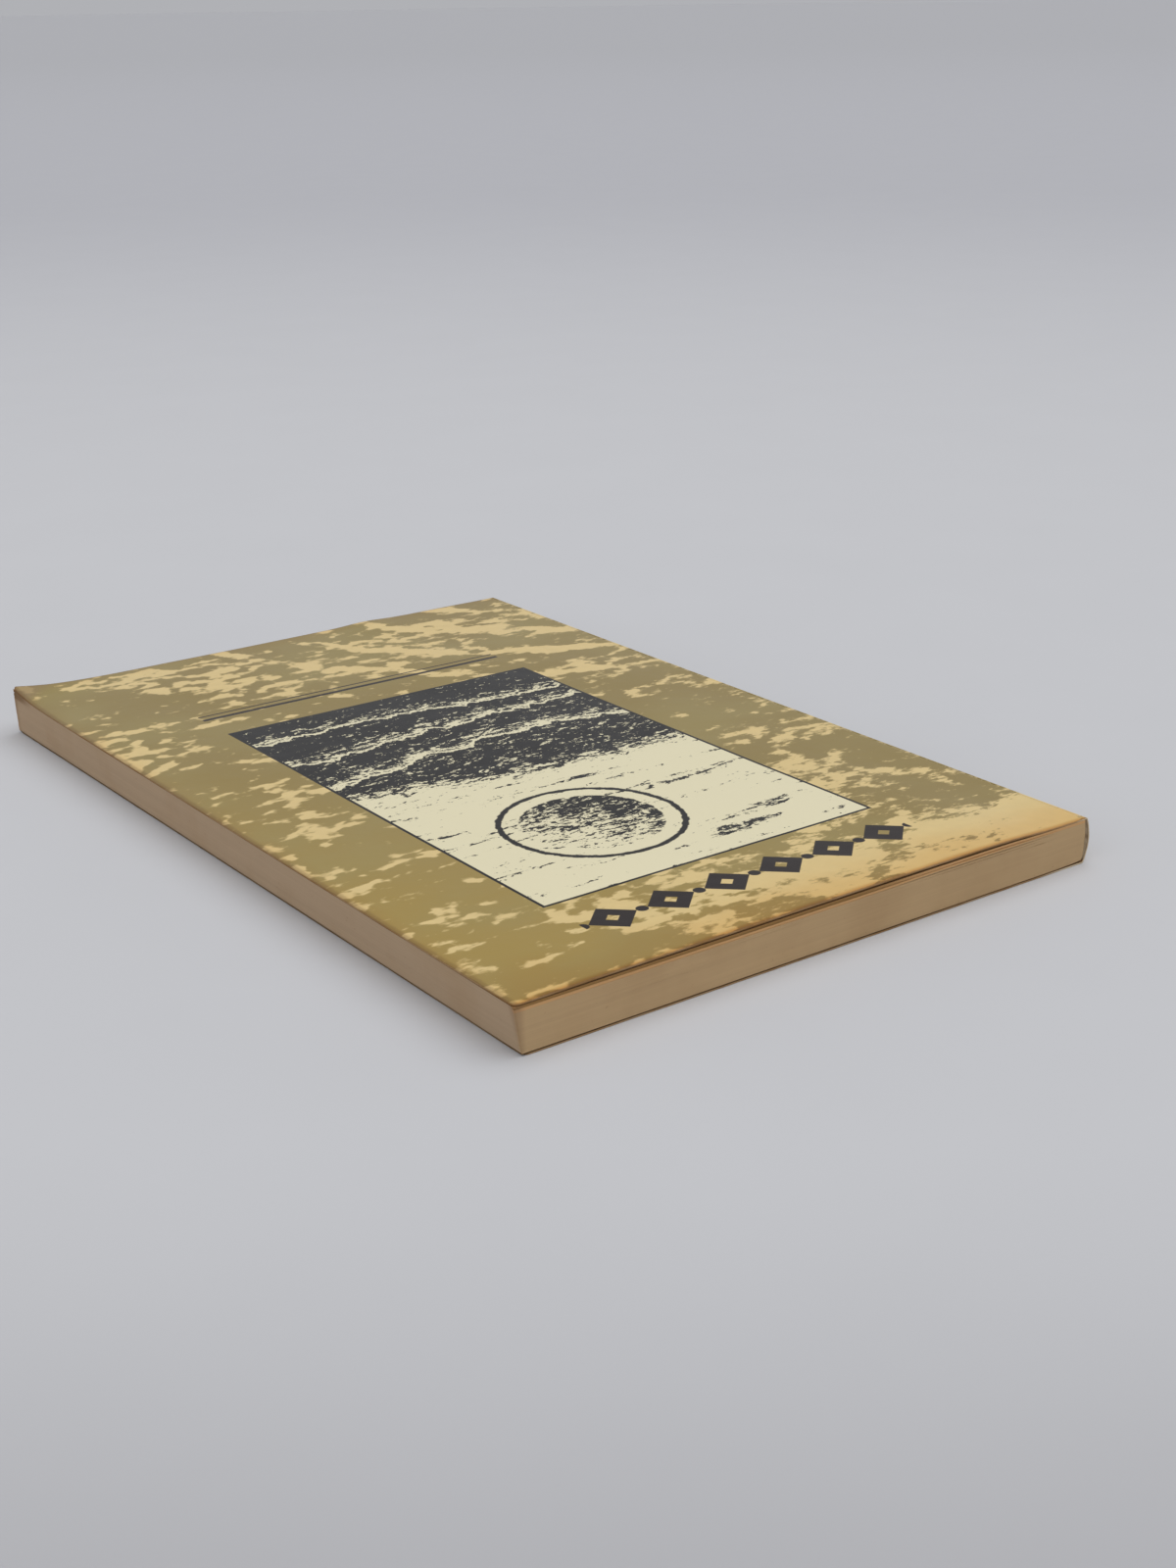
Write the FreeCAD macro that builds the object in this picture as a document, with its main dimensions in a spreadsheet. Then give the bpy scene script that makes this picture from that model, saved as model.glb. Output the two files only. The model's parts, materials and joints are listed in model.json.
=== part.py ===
# A thin paperback book lying on its back cover.
# It is a block of trimmed leaves, glued along its back edge into one folded card cover. The card is a front
# cover, a rounded spine and a back cover. The book has been read: the block leans, the front cover bows up
# along the head, and the corner at the tail and fore-edge is dog-eared.
# +X runs from the spine to the fore-edge, +Y from the tail to the head, +Z from back cover to front cover.
# The origin is the middle of the book's footprint, on the surface that it lies on.
import FreeCAD, Part
import os

import Sketcher

SHEET = "dimensions"

# Driving dimensions, in millimetres apart from one count and one share.
DIMENSIONS = {
    "cover_height": 216.0,      # tail to head, along the spine
    "cover_width": 140.0,       # spine corner to fore-edge
    "leaf_count": 80.0,         # 160 pages
    "leaf_thickness": 0.1135,
    "card_thickness": 0.32,
    "leaf_clearance": 0.04,     # air between the block and each cover
    "block_sag": 0.5,           # how far the back edge of the block bulges from its chord
    "glue_thickness": 0.25,     # at the two edges of the glue, where it is thinnest
    "glue_crown": 0.6,          # how much thicker the glue is in the middle of the spine
    "spine_lean": 0.5,          # the foot of the spine stands this much nearer to the fore-edge
    "fold_radius": 0.4,         # outside radius of the card where it turns round the block
    "fold_land": 0.48,          # from the fold's inner corner to the line that a cover turns about
    "fore_lean_tail": 0.5,      # how far the fore-edge slopes inwards to its foot, at the tail
    "fore_lean_head": 1.5,      # the same at the head
    "bound_strip": 7.0,         # width beside the spine in which the front cover lies flat
    "bow_height": 0.5,          # how far the front cover stands off the block at the head
    "bow_reach": 95.0,          # how far the bow runs from the head towards the tail
    "bow_end_share": 0.15,      # share of the bow that is left at the fore-edge
    "leaf_curl": 1.0,           # rise of the top leaf at the dog-eared corner
    "cover_curl": 0.75,         # how much further the front cover rises there
    "curl_reach_x": 19.0,       # length of the curl along the tail edge
    "curl_reach_y": 16.0,       # length of the curl along the fore-edge
}


class Size:
    """A length that knows both its spreadsheet expression and its value."""

    def __init__(self, text, value):
        self.text = text
        self.value = value

    @staticmethod
    def of(number):
        return number if isinstance(number, Size) else Size(repr(float(number)), float(number))

    def _join(self, other, sign, value):
        return Size(f"({self.text} {sign} {Size.of(other).text})", value)

    def __add__(self, other):
        return self._join(other, "+", self.value + Size.of(other).value)

    def __sub__(self, other):
        return self._join(other, "-", self.value - Size.of(other).value)

    def __mul__(self, other):
        return self._join(other, "*", self.value * Size.of(other).value)

    def __truediv__(self, other):
        return self._join(other, "/", self.value / Size.of(other).value)


def size(alias):
    return Size(f"{SHEET}.{alias}", DIMENSIONS[alias])


# Places that several pieces share.
ZERO = Size.of(0)
CARD = size("card_thickness")
BLOCK_FOOT = CARD + size("leaf_clearance")
BLOCK_TOP = BLOCK_FOOT + size("leaf_count") * size("leaf_thickness")
COVER_UNDERSIDE = BLOCK_TOP + size("leaf_clearance")
BOOK_TOP = COVER_UNDERSIDE + CARD
SPINE_SAG = size("block_sag") + size("glue_crown")
SPINE_X = ZERO - (size("cover_width") - SPINE_SAG + size("spine_lean") / 2) / 2
SPINE_FOOT_X = SPINE_X + size("spine_lean")
FORE_X = SPINE_X + size("cover_width")
LINING = CARD + size("glue_thickness")
FRONT_HINGE_X = SPINE_X + CARD + size("fold_land")
BACK_HINGE_X = SPINE_FOOT_X + CARD + size("fold_land")
HEAD_Y = size("cover_height") / 2
TAIL_Y = ZERO - HEAD_Y


def make_sheet(doc):
    sheet = doc.addObject("Spreadsheet::Sheet", SHEET)
    for row, (alias, value) in enumerate(DIMENSIONS.items(), start=1):
        sheet.set(f"A{row}", alias)
        sheet.set(f"B{row}", repr(value))
        sheet.setAlias(f"B{row}", alias)
    doc.recompute()


def bind(thing, path, length):
    """Gives a property its value and ties it to the spreadsheet."""
    thing.setExpression(path, length.text)


def constrain(sketch, kind, *places, length):
    """Adds a sketch constraint whose value follows the spreadsheet."""
    index = sketch.addConstraint(Sketcher.Constraint(kind, *places, length.value))
    bind(sketch, f"Constraints[{index}]", length)


def arc_radius(start, end, sag):
    """Radius of the arc whose middle stands sag off the chord from start to end."""
    run, rise = end[0] - start[0], end[1] - start[1]
    return ((run * run + rise * rise) / 4 + sag * sag) / (sag * 2)


def end_at(sketch, curve, place):
    """Which end of a sketch's curve lies at a place: 1 for its start, 2 for its end."""
    return min((1, 2), key=lambda end: sketch.getPoint(curve, end).distanceToPoint(place))


def draw_profile(sketch, corners, sags=None):
    """Draws a closed outline. sags gives, for the side that starts at a corner, how far that side bulges
    towards -X. A side with no entry is straight."""
    sags = sags or {}
    places = [FreeCAD.Vector(across.value, up.value, 0) for across, up in corners]
    for i, start in enumerate(places):
        end = places[(i + 1) % len(places)]
        if i in sags:
            rising = end - start if end.y > start.y else start - end
            outward = FreeCAD.Vector(-rising.y, rising.x, 0).normalize()
            sketch.addGeometry(Part.Arc(start, (start + end) / 2 + outward * sags[i].value, end), False)
        else:
            sketch.addGeometry(Part.LineSegment(start, end), False)
    for i, (across, up) in enumerate(corners):
        before = (i - 1) % len(places)
        there, here = (end_at(sketch, curve, places[i]) for curve in (before, i))
        sketch.addConstraint(Sketcher.Constraint("Coincident", before, there, i, here))
        constrain(sketch, "DistanceX", -1, 1, i, here, length=across)
        constrain(sketch, "DistanceY", -1, 1, i, here, length=up)
    for i, sag in sags.items():
        radius = arc_radius(corners[i], corners[(i + 1) % len(corners)], sag)
        constrain(sketch, "Radius", i, length=radius)


def new_body(doc, label):
    body = doc.addObject("PartDesign::Body", label)
    body.Label = label
    return body


def new_sketch(body, name, role, offset=ZERO):
    """A sketch on one of the body's own origin planes, moved along the plane's normal by offset."""
    sketch = body.newObject("Sketcher::SketchObject", name)
    plane = next(p for p in body.Origin.OriginFeatures if p.Role == role)
    sketch.AttachmentSupport = [(plane, "")]
    sketch.MapMode = "FlatFace"
    bind(sketch, ".AttachmentOffset.Base.z", offset)
    return sketch


def pad(body, sketch, name, length, both_ways=False):
    feature = body.newObject("PartDesign::Pad", name)
    feature.Profile = sketch
    feature.Midplane = both_ways
    bind(feature, "Length", length)
    return feature


def edges_at(shape, x, z):
    """Names of a shape's edges that run from tail to head at the given place."""
    names = []
    for number, edge in enumerate(shape.Edges, start=1):
        ends = [vertex.Point for vertex in edge.Vertexes]
        if all(FreeCAD.Vector(x.value, p.y, z.value).isEqual(p, 1e-4) for p in ends):
            names.append(f"Edge{number}")
    return names


def make_spine(doc):
    """The middle of the card cover: a bulged strip that turns over the block at both edges."""
    body = new_body(doc, "spine")
    sketch = new_sketch(body, "spine_section", "XZ_Plane")
    corners = [
        (FRONT_HINGE_X, BOOK_TOP),
        (FRONT_HINGE_X, COVER_UNDERSIDE),
        (SPINE_X + CARD, COVER_UNDERSIDE),
        (SPINE_FOOT_X + CARD, CARD),
        (BACK_HINGE_X, CARD),
        (BACK_HINGE_X, ZERO),
        (SPINE_FOOT_X, ZERO),
        (SPINE_X, BOOK_TOP),
    ]
    inside, outside = 2, 6
    draw_profile(sketch, corners, {inside: SPINE_SAG, outside: SPINE_SAG})
    strip = pad(body, sketch, "spine_strip", size("cover_height"), both_ways=True)
    doc.recompute()
    folds = body.newObject("PartDesign::Fillet", "cover_folds")
    front_fold = edges_at(strip.Shape, SPINE_X, BOOK_TOP)
    back_fold = edges_at(strip.Shape, SPINE_FOOT_X, ZERO)
    folds.Base = (strip, front_fold + back_fold)
    bind(folds, "Radius", size("fold_radius"))
    return body


def make_spine_glue(doc):
    """The film of glue that fills the space between the spine and the back edge of the leaves."""
    body = new_body(doc, "spine_glue")
    sketch = new_sketch(body, "glue_section", "XZ_Plane")
    corners = [
        (SPINE_X + CARD, COVER_UNDERSIDE),
        (SPINE_X + LINING, COVER_UNDERSIDE),
        (SPINE_X + LINING, BLOCK_TOP),
        (SPINE_FOOT_X + LINING, BLOCK_FOOT),
        (SPINE_FOOT_X + LINING, CARD),
        (SPINE_FOOT_X + CARD, CARD),
    ]
    block_side, spine_side = 2, 5
    draw_profile(sketch, corners, {block_side: size("block_sag"), spine_side: SPINE_SAG})
    pad(body, sketch, "glue_film", size("cover_height"), both_ways=True)
    return body


def make_back_cover(doc):
    """The flat panel of the card cover that the book lies on."""
    body = new_body(doc, "back_cover")
    sketch = new_sketch(body, "back_outline", "XY_Plane")
    corners = [
        (BACK_HINGE_X, TAIL_Y),
        (FORE_X - size("fore_lean_tail"), TAIL_Y),
        (FORE_X - size("fore_lean_head"), HEAD_Y),
        (BACK_HINGE_X, HEAD_Y),
    ]
    draw_profile(sketch, corners)
    pad(body, sketch, "back_card", CARD)
    return body


def leaf_section(body, name, fore_lean, offset):
    """A cross-section of the leaves, whose fore-edge slopes inwards to its foot by fore_lean. It is left
    about twice as tall as the leaves, to be trimmed under the top leaf."""
    sketch = new_sketch(body, name, "XZ_Plane", offset)
    untrimmed_top = BLOCK_TOP + BOOK_TOP
    slope = fore_lean / BOOK_TOP
    corners = [
        (SPINE_X + LINING, BLOCK_TOP),
        (SPINE_FOOT_X + LINING, BLOCK_FOOT),
        (FORE_X - slope * (BOOK_TOP - BLOCK_FOOT), BLOCK_FOOT),
        (FORE_X - slope * (BOOK_TOP - untrimmed_top), untrimmed_top),
        (SPINE_X + LINING, untrimmed_top),
    ]
    back_edge = 0
    draw_profile(sketch, corners, {back_edge: size("block_sag")})
    return sketch


def make_leaf_prism(doc):
    """The trimmed sides of the leaves, from the tail to the head. The sketch plane's normal is -Y."""
    body = new_body(doc, "leaf_prism")
    tail = leaf_section(body, "tail_section", size("fore_lean_tail"), HEAD_Y)
    head = leaf_section(body, "head_section", size("fore_lean_head"), TAIL_Y)
    loft = body.newObject("PartDesign::AdditiveLoft", "leaf_sides")
    loft.Profile = tail
    loft.Sections = [head]
    loft.Ruled = True
    return body


def smooth_step(share):
    """0 below 0, 1 above 1, and a smooth rise between them."""
    share = min(1.0, max(0.0, share))
    return share * share * (3 - 2 * share)


def curl_share(x, y):
    """How far up the dog-ear a point is: 0 over most of the book and 1 at the corner's tip."""
    along_tail = (FORE_X.value - x) / DIMENSIONS["curl_reach_x"]
    along_fore_edge = (y - TAIL_Y.value) / DIMENSIONS["curl_reach_y"]
    return max(0.0, 1.0 - along_tail - along_fore_edge) ** 2


def bow_share(x, y):
    """How far the front cover stands off the block: 1 where it bows most, beside the head. A pole lifts the
    surface for two strips to either side of it, so the first pole to rise is the one at three strips."""
    strip = DIMENSIONS["bound_strip"]
    from_spine = x - SPINE_X.value
    half_width = DIMENSIONS["cover_width"] / 2
    rise = smooth_step((from_spine - 2 * strip) / strip)
    fall = smooth_step((from_spine - half_width) / half_width)
    along_head = rise * (1 - fall * (1 - DIMENSIONS["bow_end_share"]))
    return along_head * smooth_step(1 - (HEAD_Y.value - y) / DIMENSIONS["bow_reach"])


def top_leaf_height(x, y):
    return BLOCK_TOP.value + DIMENSIONS["leaf_curl"] * curl_share(x, y)


def cover_underside_height(x, y):
    off_the_leaf = DIMENSIONS["bow_height"] * bow_share(x, y) + DIMENSIONS["cover_curl"] * curl_share(x, y)
    return top_leaf_height(x, y) + DIMENSIONS["leaf_clearance"] + off_the_leaf


SURFACE_DEGREE = 3


def patch_edges():
    """The lines across and along the book between which a surface is one smooth patch, closer together
    where it curves. They reach past the book's edges by its thickness."""
    reach_x, reach_y = DIMENSIONS["curl_reach_x"], DIMENSIONS["curl_reach_y"]
    strip, bow = DIMENSIONS["bound_strip"], DIMENSIONS["bow_reach"]
    past, spine_x, fore_x = BOOK_TOP.value, SPINE_X.value, FORE_X.value
    tail_y, head_y = TAIL_Y.value, HEAD_Y.value
    across = {spine_x - past, (spine_x + fore_x) / 2, fore_x + past}
    across |= {spine_x + strip * count for count in (0, 1, 2, 3, 4)}
    across |= {fore_x - reach_x * share for share in (0, 0.33, 0.66, 1, 2)}
    along = {tail_y - past, head_y + past}
    along |= {tail_y + reach_y * share for share in (0, 0.33, 0.66, 1, 2)}
    along |= {head_y - bow * share for share in (0, 0.25, 0.5, 0.75, 1)}
    return sorted(across), sorted(along)


def pole_places(edges):
    """Where the poles over these patches stand. Equal steps in their heights then give an even slope."""
    knots = [edges[0]] * SURFACE_DEGREE + edges + [edges[-1]] * SURFACE_DEGREE
    count = len(knots) - SURFACE_DEGREE - 1
    return [sum(knots[i + 1:i + 1 + SURFACE_DEGREE]) / SURFACE_DEGREE for i in range(count)]


def surface_at(height):
    """A smooth surface over the whole book. Its poles stand at the given height over each point, so of two
    such surfaces the one with greater heights lies above the other everywhere."""
    edges = patch_edges()
    across, along = (pole_places(lines) for lines in edges)
    poles = [[FreeCAD.Vector(x, y, height(x, y)) for y in along] for x in across]
    repeats = [[SURFACE_DEGREE + 1] + [1] * (len(lines) - 2) + [SURFACE_DEGREE + 1] for lines in edges]
    surface = Part.BSplineSurface()
    surface.buildFromPolesMultsKnots(poles, *repeats, *edges, False, False, SURFACE_DEGREE, SURFACE_DEGREE)
    return surface.toShape()


def make_slab(doc, name, surface, thickness):
    """The space from a surface up by a thickness, or down where that is negative."""
    slab = doc.addObject("Part::Feature", name)
    slab.Shape = surface.extrude(FreeCAD.Vector(0, 0, thickness))
    slab.Placement = FreeCAD.Placement()
    return slab


def make_common(doc, label, base, tool):
    common = doc.addObject("Part::Common", label)
    common.Label = label
    common.Base = base
    common.Tool = tool
    return common


def make_front_cover(doc):
    """The card panel over the leaves, bowed beside the head and dog-eared at one corner."""
    outline = doc.addObject("Part::Box", "front_outline")
    bind(outline, "Length", FORE_X - FRONT_HINGE_X)
    bind(outline, "Width", size("cover_height"))
    bind(outline, "Height", BOOK_TOP * 2)
    bind(outline, ".Placement.Base.x", FRONT_HINGE_X)
    bind(outline, ".Placement.Base.y", TAIL_Y)
    card = make_slab(doc, "bowed_card", surface_at(cover_underside_height), CARD.value)
    return make_common(doc, "front_cover", outline, card)


def make_text_block(doc):
    """All the leaves as one solid: the trimmed prism below the top leaf's surface."""
    below = make_slab(doc, "below_top_leaf", surface_at(top_leaf_height), -BOOK_TOP.value)
    return make_common(doc, "text_block", make_leaf_prism(doc), below)


def check(doc, pieces):
    doc.recompute()
    for item in doc.Objects:
        if {"Invalid", "Error"} & set(item.State):
            raise RuntimeError(f"{item.Name} failed: {item.State}")
    for piece in pieces:
        shape = piece.Shape
        if shape.isNull() or not shape.isValid() or not shape.Solids:
            raise RuntimeError(f"{piece.Label} has no valid solid")


def main():
    doc = FreeCAD.newDocument("paperback_book")
    make_sheet(doc)
    makers = (make_front_cover, make_spine, make_back_cover, make_text_block, make_spine_glue)
    pieces = [make(doc) for make in makers]
    check(doc, pieces)
    os.makedirs("parts", exist_ok=True)
    for piece in pieces:
        piece.Shape.exportStep(f"parts/{piece.Label}.step")


main()
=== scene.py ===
import json
import math

import bpy
import numpy as np
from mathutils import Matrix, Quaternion, Vector, noise
from mathutils.bvhtree import BVHTree


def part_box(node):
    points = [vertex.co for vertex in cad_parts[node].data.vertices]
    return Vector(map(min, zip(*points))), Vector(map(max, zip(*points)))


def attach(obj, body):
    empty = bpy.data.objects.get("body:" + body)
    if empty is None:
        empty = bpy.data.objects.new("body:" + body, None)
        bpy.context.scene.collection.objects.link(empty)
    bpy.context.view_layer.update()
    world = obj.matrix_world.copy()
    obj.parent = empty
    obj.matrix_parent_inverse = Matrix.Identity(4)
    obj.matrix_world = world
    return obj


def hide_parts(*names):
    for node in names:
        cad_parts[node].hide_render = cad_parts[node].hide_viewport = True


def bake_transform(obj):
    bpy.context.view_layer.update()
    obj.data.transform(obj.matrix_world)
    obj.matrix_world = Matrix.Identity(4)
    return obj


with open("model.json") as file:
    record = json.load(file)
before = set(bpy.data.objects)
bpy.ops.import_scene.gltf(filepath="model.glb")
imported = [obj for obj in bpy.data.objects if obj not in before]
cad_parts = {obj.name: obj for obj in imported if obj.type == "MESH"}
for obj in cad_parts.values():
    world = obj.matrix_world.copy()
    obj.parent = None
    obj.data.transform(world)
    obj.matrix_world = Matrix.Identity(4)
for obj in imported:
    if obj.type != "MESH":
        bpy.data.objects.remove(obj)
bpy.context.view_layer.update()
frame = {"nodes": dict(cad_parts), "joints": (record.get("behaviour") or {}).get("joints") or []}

MM = 0.001
LEAF_COUNT = 80
FOLD_LAND = 0.8         # from the spine's corner to the line that a cover turns about
FOLD_RADIUS = 0.4       # outside radius of the card where it turns round the block
SAMPLE_STEP = 2.0       # spacing at which the frame's surfaces are read
EDGE_INSET = 0.05       # they are read this far inside their edges
END_GAPS = (0.12, 0.35, 0.8, 1.5, 2.6)  # of the grid lines beside an edge, measured from it
STEP_ACROSS, STEP_UP = 3.0, 3.4         # spacing of a cover's other grid lines
GLUE_STEP = 6.0

# Where the pieces meet, read from the frame.
corners = {name: [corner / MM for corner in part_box(name)] for name in frame["nodes"]}
hinges = {joint["name"]: Vector(joint["pos_m"]) / MM for joint in frame["joints"]}
CARD = corners["back_cover"][1].z
TAIL, HEAD = corners["back_cover"][0].y, corners["back_cover"][1].y
FORE = corners["front_cover"][1].x
TOP = hinges["front_fold"].z
FRONT_FOLD, BACK_FOLD = hinges["front_fold"].x, hinges["back_fold"].x
SPINE_TOP = FRONT_FOLD - FOLD_LAND
SPINE_FOOT = BACK_FOLD - FOLD_LAND
BLOCK_FOOT = corners["text_block"][0].z


def smooth_step(value, low, high):
    """0 at low and 1 at high, with a smooth slope between, or the other way about where low is the greater."""
    share = min(max((value - low) / (high - low), 0.0), 1.0)
    return share * share * (3 - 2 * share)


def ripple(x, y, size, seed):
    """Smooth noise from -1 to 1, with bumps about as wide as size."""
    return noise.noise(Vector((x / size, y / size, seed * 7.31)))


class Surface:
    """Finds points on a CAD node's surface."""

    def __init__(self, node):
        mesh = frame["nodes"][node].data
        points = [vertex.co / MM for vertex in mesh.vertices]
        self.tree = BVHTree.FromPolygons(points, [face.vertices for face in mesh.polygons])
        self.low, self.high = corners[node]

    def hit(self, start, direction, axis):
        point = self.tree.ray_cast(Vector(start), Vector(direction))[0]
        return None if point is None else point[axis]

    def height(self, x, y):
        """Height of the top surface over a point, or over the nearest one that the surface lies under."""
        y = min(max(y, self.low.y + EDGE_INSET), self.high.y - EDGE_INSET)
        x = min(x, self.high.x - EDGE_INSET)
        found = None
        while found is None:
            found = self.hit((x, y, self.high.z + 1), (0, 0, -1), 2)
            x -= math.copysign(EDGE_INSET, x)
        return found

    def fore_edge(self, y, z):
        y = min(max(y, self.low.y + EDGE_INSET), self.high.y - EDGE_INSET)
        return self.hit((self.high.x + 1, y, z), (-1, 0, 0), 0)

    def back_edge(self, z):
        return self.hit((self.low.x - 1, 0, z), (1, 0, 0), 0)


class Field:
    """A smooth height over the book's footprint, read from a CAD surface. The frame's faces are flat facets,
    so the readings are blurred, past the edges too, where they go on at the same slope."""

    def __init__(self, read, low_x):
        self.xs = np.linspace(low_x, FORE, round((FORE - low_x) / SAMPLE_STEP))
        self.ys = np.linspace(TAIL, HEAD, round((HEAD - TAIL) / SAMPLE_STEP))
        grid = np.array([[read(x, y) for y in self.ys] for x in self.xs])
        kernel = np.array([1, 4, 6, 4, 1]) / 16
        for axis in (0, 1):
            padding = [(2, 2) if side == axis else (0, 0) for side in (0, 1)]
            padded = np.pad(grid, padding, mode="reflect", reflect_type="odd")
            grid = np.apply_along_axis(lambda line: np.convolve(line, kernel, "valid"), axis, padded)
        self.grid = grid

    def __call__(self, x, y):
        """The height at a point, from the four readings round it."""
        column = np.interp(x, self.xs, np.arange(len(self.xs)))
        row = np.interp(y, self.ys, np.arange(len(self.ys)))
        i, j = min(int(column), len(self.xs) - 2), min(int(row), len(self.ys) - 2)
        a, b = column - i, row - j
        near = self.grid[i, j] * (1 - b) + self.grid[i, j + 1] * b
        far = self.grid[i + 1, j] * (1 - b) + self.grid[i + 1, j + 1] * b
        return near * (1 - a) + far * a


def lines(low, high, step):
    """Grid lines from low to high, about step apart, and closer together beside both ends."""
    inner_low, inner_high = low + END_GAPS[-1], high - END_GAPS[-1]
    places = {low, high}
    places |= {low + gap for gap in END_GAPS}
    places |= {high - gap for gap in END_GAPS}
    places |= set(np.linspace(inner_low, inner_high, round((inner_high - inner_low) / step) + 1))
    return sorted(float(place) for place in places)


def make_piece(name, points, faces, looks, face_looks, flat=None):
    """A mesh piece. looks are its materials and face_looks the one that each face takes. flat gives each
    point's place on the unfolded card, which the print follows."""
    mesh = bpy.data.meshes.new(name)
    mesh.from_pydata([Vector(point) * MM for point in points], [], faces)
    for material in looks:
        mesh.materials.append(material)
    mesh.polygons.foreach_set("material_index", face_looks)
    mesh.polygons.foreach_set("use_smooth", [True] * len(faces))
    if flat is not None:
        layer = mesh.uv_layers.new(name="flat_card")
        for loop in mesh.loops:
            u, v = flat[loop.vertex_index]
            layer.data[loop.index].uv = (0.5 + u * MM, 0.5 + v * MM)
    mesh.validate()
    piece = bpy.data.objects.new(name, mesh)
    bpy.context.scene.collection.objects.link(piece)
    return piece


def grid_faces(count_a, count_b, first=0, flipped=False):
    """Faces of a grid of points stored row by row, count_b to a row."""
    faces = []
    for i in range(count_a - 1):
        for j in range(count_b - 1):
            a = first + i * count_b + j
            face = (a, a + count_b, a + count_b + 1, a + 1)
            faces.append(face[::-1] if flipped else face)
    return faces


def outline_of(count_a, count_b):
    """Grid places round the border of a grid, anticlockwise from its first corner."""
    border = [(i, 0) for i in range(count_a - 1)]
    border += [(count_a - 1, j) for j in range(count_b - 1)]
    border += [(i, count_b - 1) for i in range(count_a - 1, 0, -1)]
    border += [(0, j) for j in range(count_b - 1, 0, -1)]
    return border


def make_card(name, outer, inner, rim_out, flat, looks):
    """A sheet of card between two grids of points. Its cut edges are slightly rounded: a ring of points runs
    round the middle of the edge, and rim_out gives how far each stands out there."""
    count_a, count_b = len(outer), len(outer[0])
    points = [point for row in outer for point in row] + [point for row in inner for point in row]
    flats = [place for row in flat for place in row] * 2
    size = count_a * count_b
    faces = grid_faces(count_a, count_b) + grid_faces(count_a, count_b, size, flipped=True)
    face_looks = [0] * (len(faces) // 2) + [1] * (len(faces) // 2)
    border = outline_of(count_a, count_b)
    first = len(points)
    for i, j in border:
        points.append((Vector(outer[i][j]) + Vector(inner[i][j])) / 2 + rim_out(i, j))
        flats.append(flat[i][j])
    for step, (i, j) in enumerate(border):
        after = (step + 1) % len(border)
        a, b = i * count_b + j, border[after][0] * count_b + border[after][1]
        faces.append((a, first + step, first + after, b))
        faces.append((first + step, size + a, size + b, first + after))
        face_looks += [2, 2]
    return make_piece(name, points, faces, looks, face_looks, flats)


def round_off(x, y, radius):
    """Moves a point of a cover inwards so that its two fore-edge corners are rounded by that radius."""
    centre_x = FORE - radius
    centre_y = HEAD - radius if y > 0 else TAIL + radius
    a, b = (x - centre_x) / radius, abs(y - centre_y) / radius
    if a <= 0 or b <= 0 or abs(y) < abs(centre_y):
        return x, y
    shrink = max(a, b) / math.hypot(a, b)
    return centre_x + a * shrink * radius, centre_y + math.copysign(b * shrink * radius, y)


# Materials. A Value is a number at each point of a surface, and arithmetic on it adds nodes.
class Value:
    def __init__(self, tree, socket):
        self.tree = tree
        self.socket = socket

    def apply(self, operation, *others):
        node = self.tree.nodes.new("ShaderNodeMath")
        node.operation = operation
        for slot, item in zip(node.inputs, (self, *others)):
            plug(self.tree, slot, item)
        return Value(self.tree, node.outputs[0])

    def __add__(self, other):
        return self.apply("ADD", other)

    def __sub__(self, other):
        return self.apply("SUBTRACT", other)

    def __mul__(self, other):
        return self.apply("MULTIPLY", other)

    def __truediv__(self, other):
        return self.apply("DIVIDE", other)

    def __neg__(self):
        return self * -1.0

    def least(self, other):
        return self.apply("MINIMUM", other)

    def most(self, other):
        return self.apply("MAXIMUM", other)

    def size(self):
        return self.apply("ABSOLUTE")

    def root(self):
        return self.apply("SQRT")

    def wave(self):
        return self.apply("SINE")

    def repeat(self, period):
        """The distance past the last multiple of the period."""
        return self.apply("FLOORED_MODULO", period)

    def rise(self, low, high):
        """0 where it is below low and 1 above high, or the other way about where low is the greater."""
        node = self.tree.nodes.new("ShaderNodeMapRange")
        node.interpolation_type = "SMOOTHSTEP"
        if low < high:
            bounds = (low, high, 0.0, 1.0)
        else:
            bounds = (high, low, 1.0, 0.0)
        for slot, item in zip(node.inputs, (self, *bounds)):
            plug(self.tree, slot, item)
        return Value(self.tree, node.outputs[0])


def plug(tree, slot, item):
    if isinstance(item, Value):
        tree.links.new(item.socket, slot)
    else:
        slot.default_value = item


def paint(red, green, blue):
    """A colour given as it shows on a screen, from 0 to 255."""
    def linear(level):
        level /= 255
        return level / 12.92 if level <= 0.04045 else ((level + 0.055) / 1.055) ** 2.4
    return (linear(red), linear(green), linear(blue), 1.0)


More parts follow.
